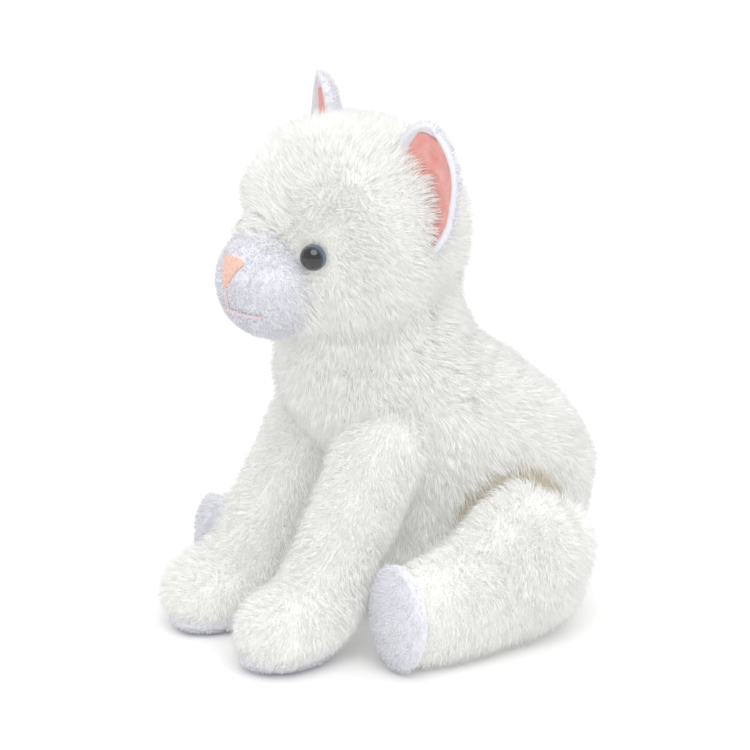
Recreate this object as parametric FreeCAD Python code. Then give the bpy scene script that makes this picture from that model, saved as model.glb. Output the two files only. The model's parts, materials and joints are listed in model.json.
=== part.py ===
"""Plush cat, sitting up with both forelegs planted in front of it.

The frame: the cat looks along -Y, its own left is +X and up is +Z. The origin is on the
flat seat, in the plane that the cat rests on. Lengths are millimetres.

Every covered part is a shell of plush cloth round a stuffing of its own. A shell and its
stuffing are the same form drawn at two insets, so the layers nest with a thin gap.
"""
import FreeCAD, Part
import math
import os

Vector = FreeCAD.Vector

# ---- Cloth and gaps --------------------------------------------------------------
PILE = 6.0             # long-pile plush: backing cloth and the dense lower pile
SHORT_PILE = 2.5       # short-pile plush on the muzzle, soles and ears
SATIN = 1.2            # ear lining and nose patch
LAYER_GAP = 0.2        # between a cover and what is inside it
JOINT_GAP = 0.6        # between pieces that move on each other

# ---- Torso: height, centre in y, half width, half depth of each level --------------
TORSO_LEVELS = [
    (0.0, 30.0, 34.0, 38.0),
    (10.0, 38.0, 44.0, 52.0),
    (35.0, 42.0, 48.5, 61.0),
    (60.0, 44.0, 51.0, 65.0),
    (85.0, 39.0, 56.0, 66.0),
    (108.0, 24.0, 54.0, 64.0),
    (129.0, 2.0, 46.0, 53.0),
]
PELLET_CENTRE = Vector(0.0, 34.0, 26.0)
PELLET_SEMI = (30.0, 36.0, 16.0)
CLOSING_SEAM_WIDTH = 1.2
CLOSING_SEAM_Z = (8.0, 40.0)

# ---- Neck and head ---------------------------------------------------------------
NECK_CENTRE = Vector(0.0, -4.0, 146.0)
NECK_R = 39.5
HEAD_CENTRE = Vector(0.0, -17.0, 188.0)
HEAD_R = 51.5
NAPE_R = 44.0          # radius of the head cover round the neck's centre
HEAD_ROLL = 5.0        # degrees that the head leans to its own left
HEAD_FLOOR = 148.0     # the head cover is open below this height, round the neck
STUFFING_FLOOR = 160.0 # the head's stuffing starts above the collar
SEAM_DEPTH = 1.0
MUZZLE_CENTRE = Vector(0.0, -60.0, 168.0)
MUZZLE_SEMI = (25.0, 24.0, 26.0)
NOSE_WIDTH, NOSE_TOP, NOSE_BOTTOM = 15.0, 182.0, 169.0
MOUTH_DROP, MOUTH_SPREAD, MOUTH_LOW, THREAD = 10.0, 17.0, 0.5, 1.2

# ---- Safety eyes ----------------------------------------------------------------
EYE_R = 6.0
EYE_DIRECTION = Vector(0.55, -0.83, -0.05)    # of the left eye, from the head's centre
EYE_SEAT = 3.5         # how far the eye is set into the pile
PUPIL_R, PUPIL_DEPTH = 4.6, 0.8
STEM_R, STEM_LENGTH = 1.6, 9.0
WASHER_R, WASHER_DEPTH, STEM_FIT = 7.0, 1.4, 0.1
WASHER_SETBACK = 0.9   # from the cover's inner face at the stem, for the flat washer to clear its curve

# ---- Ears -----------------------------------------------------------------------
EAR_CENTRE = Vector(43.0, -12.0, 210.0)
EAR_SEMI = (16.0, 11.0, 35.0)     # half width, depth of the cup, half height
EAR_LEAN = 15.0        # degrees that the tip leans outwards
EAR_TURN = 20.0        # degrees that the cup opens outwards from straight ahead
EAR_GAP = 1.8

# ---- Forelegs: an arm from the shoulder to the wrist, and a paw -------------------
SHOULDER = Vector(30.0, -18.0, 95.0)
SHOULDER_R = 19.8
WRIST = Vector(30.0, -64.0, 26.0)
WRIST_R = 18.0
LIFTED, LIFTED_ROOM = 26.0, 1.6     # degrees that the arm swings up, and its room there
PAW_CENTRE = Vector(30.0, -71.0, 16.0)
PAW_SEMI = (19.8, 28.0, 17.0)
FORE_SOLE_SEMI = (15.5, 22.0)

# ---- Hind legs: a thigh that turns in the side, with the shin and foot in one barrel ---
HIP = Vector(61.0, 40.0, 39.0)
RIGHT_LEG_FORWARD = 10.0     # the right hind leg is sewn on this much further forward
THIGH_SEMI = (27.0, 40.0, 38.0)
SHIN_BACK_Y = 20.0
FOOT_CENTRE = Vector(70.5, -26.0, 27.0)
FOOT_SEMI = (19.2, 27.0)     # half width and half height of the shin and foot
HIND_SOLE_FACE = -35.0
HIND_SOLE_SEMI = (17.6, 24.6)

# ---- Tail: a level arc round the right of the rump, with a ball for a tip -----------
TAIL_ARC_CENTRE = Vector(-30.0, 38.0, 12.0)
TAIL_ARC_R = 56.0
TAIL_R = 10.0
TAIL_TIP_R = 9.5
TAIL_START, TAIL_END = -26.0, 62.0     # degrees round from straight behind to the right
TAIL_ROOT_BALL_R = 17.0     # the hollow in the rump that the tail turns in

BIG = 400.0            # larger than the cat, for cutting with half spaces


# ---- Basic forms ------------------------------------------------------------------
def ball(centre, radius):
    """A sphere."""
    return Part.makeSphere(radius, centre)


def ellipsoid(centre, semi, inset=0.0):
    """A sphere stretched along X, Y and Z, drawn smaller by inset all round."""
    stretch = FreeCAD.Matrix()
    stretch.scale(semi[0] - inset, semi[1] - inset, semi[2] - inset)
    stretch.move(centre)
    return Part.makeSphere(1.0).transformGeometry(stretch)


def tapered_length(start, start_r, end, end_r):
    """Two balls and the cone that is tangent to both, as one solid of revolution."""
    span = end - start
    length = span.Length
    slope = math.asin((start_r - end_r) / length)

    def on_profile(along, radius, angle):
        return Vector(radius * math.cos(angle), 0.0, along + radius * math.sin(angle))

    low_pole = Vector(0.0, 0.0, -start_r)
    high_pole = Vector(0.0, 0.0, length + end_r)
    low_side = on_profile(0.0, start_r, (slope - math.pi / 2) / 2)
    high_side = on_profile(length, end_r, (slope + math.pi / 2) / 2)
    low_tangent = on_profile(0.0, start_r, slope)
    high_tangent = on_profile(length, end_r, slope)
    profile = Part.Wire([
        Part.Arc(low_pole, low_side, low_tangent).toShape(),
        Part.makeLine(low_tangent, high_tangent),
        Part.Arc(high_tangent, high_side, high_pole).toShape(),
        Part.makeLine(high_pole, low_pole),
    ])
    solid = Part.Face(profile).revolve(Vector(0, 0, 0), Vector(0, 0, 1), 360)
    solid.Placement = FreeCAD.Placement(start, FreeCAD.Rotation(Vector(0, 0, 1), span))
    return solid


def elliptic_plate(centre, semi, thickness, normal):
    """A flat plate with an elliptical outline, from centre along normal."""
    first, second = semi
    turn = FreeCAD.Rotation(Vector(0, 0, 1), normal)
    stretch = FreeCAD.Matrix()
    stretch.scale(first, second, thickness)
    plate = Part.makeCylinder(1.0, 1.0).transformGeometry(stretch)
    plate.Placement = FreeCAD.Placement(centre, turn)
    return plate


def above(shape, height):
    """What is left of a shape over a level."""
    return shape.cut(Part.makeBox(2 * BIG, 2 * BIG, BIG, Vector(-BIG, -BIG, height - BIG)))


def behind(shape, depth):
    """What is left of a shape on the +Y side of a plane."""
    return shape.cut(Part.makeBox(2 * BIG, BIG, 2 * BIG, Vector(-BIG, depth - BIG, -BIG)))


def mirrored(shape):
    """The same shape on the cat's other side."""
    return shape.mirror(Vector(0, 0, 0), Vector(1, 0, 0))


def right_hind(shape):
    """A left hind leg's shape moved to the right hind leg."""
    other = mirrored(shape)
    other.translate(Vector(0.0, -RIGHT_LEG_FORWARD, 0.0))
    return other


def rolled(shape):
    """A shape of the upright head, leant with the head about the neck's centre."""
    return shape.rotated(NECK_CENTRE, Vector(0, 1, 0), HEAD_ROLL)


def both_sides(shape):
    """A shape and its mirror image, as one cutter."""
    return shape.fuse(mirrored(shape))


# ---- Forms of the body parts, each drawn at an inset --------------------------------
def level_loft(levels, inset):
    """A loft through level ellipses, flat at both ends."""
    low, high = levels[0][0], levels[-1][0]
    squeeze = (high - low - 2 * inset) / (high - low)
    wires = []
    for height, centre_y, half_x, half_y in levels:
        centre = Vector(0.0, centre_y, low + inset + (height - low) * squeeze)
        front = centre + Vector(0.0, half_y - inset, 0.0)
        side = centre + Vector(half_x - inset, 0.0, 0.0)
        wires.append(Part.Wire([Part.Ellipse(front, side, centre).toShape()]))
    return Part.makeLoft(wires, True, False)


def torso_form(inset):
    """The trunk from its flat seat to its flat top at the neck."""
    return level_loft(TORSO_LEVELS, inset)


def whole_head_form(inset):
    """The skull's ball run down to the collar's ball round the neck."""
    return tapered_length(HEAD_CENTRE, HEAD_R - inset, NECK_CENTRE, NAPE_R - inset)


def head_hollow(inset):
    """The room inside the head cover, which ends below in the ball that the neck turns in."""
    return tapered_length(HEAD_CENTRE, HEAD_R - inset, NECK_CENTRE, NECK_R + JOINT_GAP)


def foreleg_form(inset):
    """Arm and paw of the left foreleg."""
    arm = tapered_length(SHOULDER, SHOULDER_R - inset, WRIST, WRIST_R - inset)
    paw = ellipsoid(PAW_CENTRE, PAW_SEMI, inset)
    return above(arm.fuse(paw), SHORT_PILE + inset)


def hind_leg_form(inset):
    """Thigh, shin and foot of the left hind leg."""
    half_width, half_height = FOOT_SEMI[0] - inset, FOOT_SEMI[1] - inset
    back, front = Vector(0.0, SHIN_BACK_Y, 0.0), Vector(0.0, FOOT_CENTRE.y, 0.0)
    barrel = tapered_length(back, half_height, front, half_height)
    narrow = FreeCAD.Matrix()
    narrow.scale(half_width / half_height, 1.0, 1.0)
    narrow.move(Vector(FOOT_CENTRE.x, 0.0, FOOT_CENTRE.z))
    barrel = barrel.transformGeometry(narrow)
    thigh = ellipsoid(HIP, THIGH_SEMI, inset)
    return behind(thigh.fuse(barrel), HIND_SOLE_FACE + inset)


def tail_point(degrees):
    """A point on the tail's middle line."""
    angle = math.radians(degrees)
    return TAIL_ARC_CENTRE + Vector(-math.sin(angle), math.cos(angle), 0.0) * TAIL_ARC_R


def tail_form(inset):
    """A disc carried round the tail's arc, and the ball at its tip."""
    start = TAIL_START + math.degrees(inset / TAIL_ARC_R)
    root = tail_point(start)
    along = Vector(0, 0, 1).cross(root - TAIL_ARC_CENTRE)
    disc = Part.Face(Part.Wire([Part.Circle(root, along, TAIL_R - inset).toShape()]))
    tube = disc.revolve(TAIL_ARC_CENTRE, Vector(0, 0, 1), TAIL_END - start)
    return tube.fuse(ball(tail_point(TAIL_END), TAIL_TIP_R - inset))


def shell(form, thickness):
    """The cloth of a form: the form less itself at the cloth's thickness."""
    return form(0.0).cut(form(thickness))


def save(name, shape):
    """Write one node's STEP file and print its volume."""
    solids = shape.Solids
    whole = solids[0] if len(solids) == 1 else Part.makeCompound(solids)
    whole.exportStep(os.path.join("parts", name + ".step"))
    print(name, "solids", len(solids), "volume", round(shape.Volume), "valid", shape.isValid())


# ---- Torso ------------------------------------------------------------------------
def make_torso():
    """Cover, stuffing, pellet bag and closing seam."""
    rooms = both_sides(foreleg_form(-JOINT_GAP))
    thigh_room = ellipsoid(HIP, THIGH_SEMI, -JOINT_GAP)
    rooms = rooms.fuse(thigh_room).fuse(right_hind(thigh_room))
    rooms = rooms.fuse(ball(NECK_CENTRE, NECK_R + JOINT_GAP))
    rooms = rooms.fuse(ball(tail_point(TAIL_START), TAIL_ROOT_BALL_R + JOINT_GAP))
    rooms = rooms.fuse(tail_form(-JOINT_GAP))
    arm = tapered_length(SHOULDER, SHOULDER_R + LIFTED_ROOM, WRIST, WRIST_R + LIFTED_ROOM)
    arm.rotate(SHOULDER, Vector(-1, 0, 0), LIFTED)
    lifted_arms = both_sides(arm)
    width = CLOSING_SEAM_WIDTH
    low, high = CLOSING_SEAM_Z
    back = TORSO_LEVELS[2][1]
    slot = Part.makeBox(width, BIG, high - low, Vector(-width / 2 + 12.0, back, low))
    seam = torso_form(0.0).cut(torso_form(width)).common(slot).cut(rooms)
    cover = shell(torso_form, PILE).cut(rooms).cut(lifted_arms).cut(seam)
    pellets = ellipsoid(PELLET_CENTRE, PELLET_SEMI)
    pellet_room = ellipsoid(PELLET_CENTRE, PELLET_SEMI, -LAYER_GAP)
    inside = torso_form(PILE + LAYER_GAP)
    stuffing = inside.cut(rooms).cut(lifted_arms).cut(pellet_room)
    save("torso_cover", cover)
    save("torso_stuffing", stuffing)
    save("pellet_bag", pellets.common(inside).cut(rooms))
    save("closing_seam", seam)


# ---- Head -------------------------------------------------------------------------
def eye_seat():
    """Where the left eye's flat back sits, and its outward direction."""
    out = Vector(EYE_DIRECTION)
    out.normalize()
    return HEAD_CENTRE + out * (HEAD_R - EYE_SEAT), out


def eye_parts():
    """Dome, stem with its pupil disc, washer and the room they need, on the left."""
    seat, out = eye_seat()
    disc = Part.makeCylinder(PUPIL_R, PUPIL_DEPTH, seat, out)
    half = ball(seat, EYE_R).cut(Part.makeCylinder(BIG, BIG, seat, out * -1))
    dome = half.cut(disc)
    stem = disc.fuse(Part.makeCylinder(STEM_R, STEM_LENGTH, seat, out * -1)).removeSplitter()
    washer_at = seat - out * (PILE - EYE_SEAT + WASHER_SETBACK + WASHER_DEPTH)
    ring = Part.makeCylinder(WASHER_R, WASHER_DEPTH, washer_at, out)
    washer = ring.cut(Part.makeCylinder(STEM_R + STEM_FIT, BIG, washer_at - out * BIG / 2, out))
    socket = Part.makeCylinder(EYE_R + LAYER_GAP, BIG / 4, seat, out)
    hole = Part.makeCylinder(STEM_R + STEM_FIT, STEM_LENGTH + 1.0, seat, out * -1)
    washer_room = Part.makeCylinder(
        WASHER_R + LAYER_GAP, STEM_LENGTH + 1.0, seat - out * (PILE - EYE_SEAT), out * -1)
    return dome, stem, washer, socket.fuse(hole), hole.fuse(washer_room)


def nose_and_mouth():
    """A rounded triangle of satin and a stitched mouth, laid on the muzzle's front."""
    skin = ellipsoid(MUZZLE_CENTRE, MUZZLE_SEMI)
    front = MUZZLE_CENTRE.y
    half = NOSE_WIDTH / 2
    middle = (NOSE_TOP + NOSE_BOTTOM) / 2

    def prism(outline):
        wire = Part.makePolygon([Vector(x, front, z) for x, z in outline + outline[:1]])
        return Part.Face(wire).extrude(Vector(0, -BIG, 0))

    nose_outline = [(-half, NOSE_TOP - 2), (-half + 2, NOSE_TOP), (half - 2, NOSE_TOP),
                    (half, NOSE_TOP - 2), (half / 2, middle - 1), (1.2, NOSE_BOTTOM),
                    (-1.2, NOSE_BOTTOM), (-half / 2, middle - 1)]
    nose = prism(nose_outline).common(ellipsoid(MUZZLE_CENTRE, MUZZLE_SEMI, -SATIN)).cut(skin)
    fork = NOSE_BOTTOM - MOUTH_DROP
    wide = THREAD / 2
    mouth_outline = [(-wide, NOSE_BOTTOM - LAYER_GAP), (wide, NOSE_BOTTOM - LAYER_GAP), (wide, fork),
                     (MOUTH_SPREAD, fork - MOUTH_LOW), (MOUTH_SPREAD - THREAD, fork - MOUTH_LOW - THREAD),
                     (0.0, fork - 2 * THREAD), (THREAD - MOUTH_SPREAD, fork - MOUTH_LOW - THREAD),
                     (-MOUTH_SPREAD, fork - MOUTH_LOW), (-wide, fork)]
    thread_skin = ellipsoid(MUZZLE_CENTRE, MUZZLE_SEMI, -THREAD / 2)
    mouth = prism(mouth_outline).common(thread_skin).cut(skin)
    return nose, mouth


def make_head():
    """Covers, stuffings, nose, mouth, eyes and the neck seam."""
    dome, stem, washer, cover_room, stuffing_room = eye_parts()
    skull = whole_head_form(0.0)
    cloth = skull.cut(head_hollow(PILE))
    cover = above(cloth, HEAD_FLOOR).cut(cover_room).cut(mirrored(cover_room))
    over_seam = Part.makeBox(2 * BIG, 2 * BIG, BIG, Vector(-BIG, -BIG, HEAD_FLOOR))
    seam = above(cloth, HEAD_FLOOR - SEAM_DEPTH).cut(over_seam)
    neck_room = Part.makeSphere(NECK_R + JOINT_GAP, NECK_CENTRE, HEAD_CENTRE - NECK_CENTRE)
    stuffing = above(head_hollow(PILE + LAYER_GAP), STUFFING_FLOOR).cut(neck_room)
    stuffing = stuffing.cut(stuffing_room).cut(mirrored(stuffing_room))
    muzzle = ellipsoid(MUZZLE_CENTRE, MUZZLE_SEMI)
    muzzle_cover = muzzle.cut(ellipsoid(MUZZLE_CENTRE, MUZZLE_SEMI, SHORT_PILE)).cut(skull)
    filling = ellipsoid(MUZZLE_CENTRE, MUZZLE_SEMI, SHORT_PILE + LAYER_GAP)
    filling = filling.cut(whole_head_form(-LAYER_GAP))
    save("head_cover", rolled(cover))
    save("head_stuffing", rolled(stuffing))
    save("neck_seam", rolled(seam))
    save("neck_stuffing", ball(NECK_CENTRE, NECK_R))
    save("muzzle_cover", rolled(muzzle_cover.cut(cover_room).cut(mirrored(cover_room))))
    save("muzzle_stuffing", rolled(filling.cut(cover_room).cut(mirrored(cover_room))))
    nose, mouth = nose_and_mouth()
    save("nose_patch", rolled(nose))
    save("mouth_stitch", rolled(mouth))
    for side, place in (("left", lambda shape: shape), ("right", mirrored)):
        save("eye_dome_" + side, rolled(place(dome)))
        save("eye_stem_" + side, rolled(place(stem)))
        save("eye_washer_" + side, rolled(place(washer)))


# ---- Ears -------------------------------------------------------------------------
def make_ears():
    """A short-pile cup and its satin lining on each side."""
    lean = FreeCAD.Rotation(Vector(0, 1, 0), EAR_LEAN)
    turn = FreeCAD.Rotation(Vector(0, 0, 1), EAR_TURN)
    place = FreeCAD.Placement(EAR_CENTRE, turn.multiply(lean))
    open_side = Part.makeBox(2 * BIG, BIG, 2 * BIG, Vector(-BIG, -BIG, -BIG))
    head_room = whole_head_form(-EAR_GAP)

    def cup(outer, inner):
        middle = Vector(0, 0, 0)
        solid = ellipsoid(middle, EAR_SEMI, outer).cut(ellipsoid(middle, EAR_SEMI, inner))
        solid = solid.cut(open_side)
        solid.Placement = place
        pieces = solid.cut(head_room).Solids
        return max(pieces, key=lambda piece: piece.Volume)

    back = cup(0.0, SHORT_PILE)
    lining = cup(SHORT_PILE + LAYER_GAP / 2, SHORT_PILE + SATIN)
    save("ear_back_left", rolled(back))
    save("ear_lining_left", rolled(lining))
    save("ear_back_right", rolled(mirrored(back)))
    save("ear_lining_right", rolled(mirrored(lining)))


# ---- Legs and tail ------------------------------------------------------------------
def make_legs():
    """Cover, stuffing and sole of each of the four legs."""
    sole_at = Vector(PAW_CENTRE.x, PAW_CENTRE.y, 0.0)
    fore_sole = elliptic_plate(sole_at, FORE_SOLE_SEMI, SHORT_PILE, Vector(0, 0, 1))
    face = Vector(FOOT_CENTRE.x, HIND_SOLE_FACE, FOOT_CENTRE.z)
    hind_sole = elliptic_plate(face, HIND_SOLE_SEMI, SHORT_PILE, Vector(0, -1, 0))
    forelegs = {
        "foreleg_cover": shell(foreleg_form, PILE),
        "foreleg_stuffing": foreleg_form(PILE + LAYER_GAP),
        "foreleg_sole": fore_sole,
    }
    hind_legs = {
        "hind_leg_cover": shell(hind_leg_form, PILE),
        "hind_leg_stuffing": hind_leg_form(PILE + LAYER_GAP),
        "hind_leg_sole": hind_sole,
    }
    for pieces, to_right in ((forelegs, mirrored), (hind_legs, right_hind)):
        for name, shape in pieces.items():
            save(name + "_left", shape)
            save(name + "_right", to_right(shape))


def make_tail():
    """Cover and stuffing of the tail."""
    save("tail_cover", shell(tail_form, SHORT_PILE))
    save("tail_stuffing", tail_form(SHORT_PILE + LAYER_GAP))


def main():
    """Write every node."""
    os.makedirs("parts", exist_ok=True)
    make_torso()
    make_head()
    make_ears()
    make_legs()
    make_tail()


main()
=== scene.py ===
# %% [markdown]
# # A sitting plush cat
# The toy is a set of stuffed cloth bags: a trunk, a head, four legs and a tail, cut from
# white long-pile plush. The muzzle, the soles and the ears are cut from short-pile plush,
# and the ears are lined with satin. Here each bag is a smooth skin worked out with numpy,
# and its pile is real geometry, thousands of small tapered fibres rooted on that skin.

# %% Load the frame
import json
import math

import bpy
import numpy as np
from mathutils import Matrix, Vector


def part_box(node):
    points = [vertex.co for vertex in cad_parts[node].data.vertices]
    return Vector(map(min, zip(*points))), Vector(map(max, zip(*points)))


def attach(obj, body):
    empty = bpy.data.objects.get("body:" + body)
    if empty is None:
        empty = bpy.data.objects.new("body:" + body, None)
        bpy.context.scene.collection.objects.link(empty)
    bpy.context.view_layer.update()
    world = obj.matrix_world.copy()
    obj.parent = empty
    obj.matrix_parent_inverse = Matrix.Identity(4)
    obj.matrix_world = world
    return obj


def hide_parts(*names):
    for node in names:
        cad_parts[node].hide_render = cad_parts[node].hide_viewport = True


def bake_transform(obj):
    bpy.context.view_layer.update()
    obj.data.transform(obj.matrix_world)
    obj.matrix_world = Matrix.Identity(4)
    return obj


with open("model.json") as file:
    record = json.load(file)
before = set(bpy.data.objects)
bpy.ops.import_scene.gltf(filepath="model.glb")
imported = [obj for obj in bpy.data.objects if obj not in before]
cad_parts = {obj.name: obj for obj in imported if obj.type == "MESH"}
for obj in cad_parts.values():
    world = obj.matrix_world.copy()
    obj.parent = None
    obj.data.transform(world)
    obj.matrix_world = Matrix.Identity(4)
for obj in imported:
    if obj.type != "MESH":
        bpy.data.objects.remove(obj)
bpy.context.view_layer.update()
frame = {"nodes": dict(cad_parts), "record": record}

MM = 0.001               # a millimetre, in the scene's metres

# %% [markdown]
# ## Camera, floor and light
# The cat is seen from its front left, a little from above, with a long lens that keeps
# it from looking stretched. The light is broad and soft, as in a white photo tent.

# %% Camera
VIEW_AZIMUTH, VIEW_ELEVATION = math.radians(55.0), math.radians(14.0)
VIEW_DISTANCE = 1.0                          # metres
AIM = np.array([0.0, -0.0037, 0.1172])       # metres, the middle of the picture
LENS, SENSOR_WIDTH = 103.6, 36.0             # millimetres
NEAREST, FARTHEST = 0.05, 20.0               # metres, what the camera sees between


def way_to_camera(azimuth, elevation):
    """Unit vector (sin a cos e, -cos a cos e, sin e), with a turned about +Z from -Y."""
    return np.array([math.sin(azimuth) * math.cos(elevation),
                     -math.cos(azimuth) * math.cos(elevation), math.sin(elevation)])


def link_object(name, data):
    """A new object in the scene that holds the data."""
    obj = bpy.data.objects.new(name, data)
    bpy.context.scene.collection.objects.link(obj)
    return obj


def place_facing(obj, place, target):
    """Put an object at a place, with its -Z axis towards the target."""
    back = np.asarray(place, float) - np.asarray(target, float)
    back /= np.linalg.norm(back)
    right = np.cross([0.0, 0.0, 1.0], back)
    right /= np.linalg.norm(right)
    up = np.cross(back, right)
    matrix = np.eye(4)
    for column, axis in enumerate((right, up, back, np.asarray(place, float))):
        matrix[:3, column] = axis
    obj.matrix_world = Matrix(matrix.tolist())


camera_data = bpy.data.cameras.new("camera")
camera_data.lens, camera_data.sensor_width = LENS, SENSOR_WIDTH
camera_data.clip_start, camera_data.clip_end = NEAREST, FARTHEST
camera = link_object("camera", camera_data)
place_facing(camera, AIM + way_to_camera(VIEW_AZIMUTH, VIEW_ELEVATION) * VIEW_DISTANCE, AIM)
bpy.context.scene.camera = camera
bpy.context.scene.view_settings.view_transform = "Standard"
print("camera at", [round(value, 3) for value in camera.matrix_world.translation])

# %% [markdown]
# ### The paper tent
# A white toy in a tent of white paper is lit from all round, so its shadows stay pale.
# The world's background is that tent. A ray straight from the camera finds the paper
# brighter than the light it sends to the cat, as a wall is that is lit from outside. A
# wide sun from the front left gives the cat its shape, and a weak soft box above lights
# its crown and back.

# %% Light
ROOM_LIGHT, PAPER_WHITE = 0.74, 0.3     # the tent's light, and how much brighter its wall looks
SUN_STRENGTH, SUN_SPREAD = 1.3, math.radians(50.0)
SUN_WAY = np.array([1.0, -0.5, 1.6])
TOP_PLACE, TOP_SIZE, TOP_POWER = (-0.2, 0.3, 1.7), 1.2, 3.0      # metres, metres and watts


def light_room(tree):
    """World strength = room + white * (1 for a ray from the camera, otherwise 0)."""
    tree.nodes["Background"].inputs["Color"].default_value = (1.0, 1.0, 1.0, 1.0)
    path = tree.nodes.new("ShaderNodeLightPath")
    strength = tree.nodes.new("ShaderNodeMath")
    strength.operation = "MULTIPLY_ADD"
    strength.inputs[1].default_value, strength.inputs[2].default_value = PAPER_WHITE, ROOM_LIGHT
    tree.links.new(path.outputs["Is Camera Ray"], strength.inputs[0])
    tree.links.new(strength.outputs[0], tree.nodes["Background"].inputs["Strength"])


world = bpy.data.worlds.new("soft_tent")
world.use_nodes = True
light_room(world.node_tree)
bpy.context.scene.world = world

sun_data = bpy.data.lights.new("key_light", "SUN")
sun_data.energy, sun_data.angle = SUN_STRENGTH, SUN_SPREAD
place_facing(link_object("key_light", sun_data), AIM + SUN_WAY, AIM)

top_data = bpy.data.lights.new("top_light", "AREA")
top_data.shape, top_data.size, top_data.energy = "SQUARE", TOP_SIZE, TOP_POWER
place_facing(link_object("top_light", top_data), TOP_PLACE, AIM)
print("lights", [light.name for light in bpy.data.lights], "room", ROOM_LIGHT)

# %% [markdown]
# ## Materials
# Every colour is written as an sRGB hex value and turned to linear by one function. One
# small helper adds a node, sets its sockets and links it.

# %% Material helpers
def linear(hex_colour):
    """sRGB hex to linear RGBA: c / 12.92 in the toe, ((c + 0.055) / 1.055) ^ 2.4 above it."""
    values = np.array([int(hex_colour[i:i + 2], 16) for i in (1, 3, 5)]) / 255.0
    low, high = values / 12.92, ((values + 0.055) / 1.055) ** 2.4
    return tuple(np.where(values <= 0.04045, low, high)) + (1.0,)


def add_node(tree, kind, links=(), **settings):
    """Add a node; settings name its properties or sockets, links are (socket, output)."""
    node = tree.nodes.new(kind)
    for name, value in settings.items():
        if hasattr(node, name):
            setattr(node, name, value)
        else:
            node.inputs[name.replace("_", " ")].default_value = value
    for socket, output in links:
        tree.links.new(output, node.inputs[socket])
    return node


def new_material(name, colour, roughness, **sockets):
    """A Principled material with constants on its own sockets."""
    material = bpy.data.materials.new(name)
    material.use_nodes = True
    shader = material.node_tree.nodes["Principled BSDF"]
    shader.inputs["Base Color"].default_value = linear(colour)
    shader.inputs["Roughness"].default_value = roughness
    for socket, value in sockets.items():
        shader.inputs[socket.replace("_", " ")].default_value = value
    return material, material.node_tree, shader


def two_tone(tree, shader, scale_mm, dark, light, stops=(0.35, 0.65), bump_mm=0.0, bump=1.0):
    """Mottle the colour, and raise bump_mm, with noise whose features are scale_mm across."""
    place = add_node(tree, "ShaderNodeTexCoord")
    noise = add_node(tree, "ShaderNodeTexNoise", [("Vector", place.outputs["Object"])],
                     Scale=1.0 / (scale_mm * MM), Detail=3.0)
    ramp = add_node(tree, "ShaderNodeValToRGB", [("Fac", noise.outputs["Fac"])])
    for element, stop, colour in zip(ramp.color_ramp.elements, stops, (dark, light)):
        element.position, element.color = stop, linear(colour)
    tree.links.new(ramp.outputs["Color"], shader.inputs["Base Color"])
    if bump_mm:
        raised = add_node(tree, "ShaderNodeBump", [("Height", noise.outputs["Fac"])],
                          Distance=bump_mm * MM, Strength=bump)
        tree.links.new(raised.outputs["Normal"], shader.inputs["Normal"])


print("white is", linear("#FFFFFF"), "and mid grey", [round(float(v), 3) for v in linear("#808080")])

# %% [markdown]
# ### Plush
# Polyester pile is white and slightly translucent, so it takes a soft sheen and no sharp
# highlight. Light goes from fibre to fibre many times before it comes out again, more
# often than a render follows it, so each fibre gives back a little light of its own.
# Down in the crease over the thighs the pile is painted cream as painted shade. A fibre is
# too fine to carry a pattern, so its colour is plain: the long fibres and the undercoat differ.

# %% Plush
DEEP_LIGHT = 0.165      # light that has been scattered many times among the white fibres


def pile_material(name, colour, glow, share=1.0):
    """Matt fibre with a soft sheen; share scales the light scattered among the fibres."""
    material, _, _ = new_material(name, colour, 0.88, Sheen_Weight=0.35, Sheen_Roughness=0.5,
                                  Emission_Color=linear(glow), Emission_Strength=share * DEEP_LIGHT)
    return material


pile_white = pile_material("polyester_pile", "#FEFEFC", "#FCFDFC")
undercoat = pile_material("polyester_undercoat", "#F8F8F4", "#FAFBF8")
pile_short = pile_material("polyester_short_pile", "#F5F5FA", "#F6F6FF", 0.5)
short_undercoat = pile_material("polyester_short_undercoat", "#EDEDF4", "#F4F4FF", 0.4)
# Painted shade: the pile and undercoat in the crease over the thighs are painted cream, with less glow.
pile_crease_shade = pile_material("polyester_pile_painted_crease_shade", "#F6EFE0", "#F6EDDA", 0.6)
undercoat_crease_shade = pile_material("polyester_undercoat_painted_crease_shade", "#EEE4CF", "#F2E6CE", 0.5)
UNDERCOATS = {pile_white: undercoat, pile_short: short_undercoat, pile_crease_shade: undercoat_crease_shade}
print("piles", [material.name for material in UNDERCOATS])

# %% [markdown]
# ### Backing, satin and thread
# The pile's backing is a knitted cloth, a little duller than the pile, which shows only
# where the pile parts: loops of about a millimetre give it a soft grain. Satin is smooth
# and shines along its floats; its colour goes up and down over some millimetres, a painted
# shade and sheen of its creases. The nose is a matter satin in peach. The mouth is a twisted
# thread, mottled light and dark over its strands as painted shade of the twist.

# %% Backing, satin and thread
backing, tree, shader = new_material("knitted_backing", "#FBFBF8", 0.95)
two_tone(tree, shader, 1.2, "#F7F6F1", "#FDFDFC", bump_mm=0.4)

short_backing, tree, shader = new_material("short_pile_backing", "#EFEFF5", 0.95)
two_tone(tree, shader, 1.0, "#EBEBF2", "#F4F4F9", bump_mm=0.3)

satin, tree, shader = new_material("pink_satin", "#F2ABA4", 0.42, Sheen_Weight=0.3)
# Painted shade and sheen: the satin's colour is mottled light and dark over 6 mm, standing in for its
# creases.
two_tone(tree, shader, 6.0, "#EE9A93", "#F8BDB6", (0.3, 0.7), bump_mm=0.25, bump=0.5)

nose_satin, tree, shader = new_material("peach_satin", "#F0C2AE", 0.6, Sheen_Weight=0.2)
two_tone(tree, shader, 1.5, "#EBB8A2", "#F5CEBD", bump_mm=0.2, bump=0.5)

thread, tree, shader = new_material("pink_thread", "#F0D6D8", 0.7)
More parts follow.
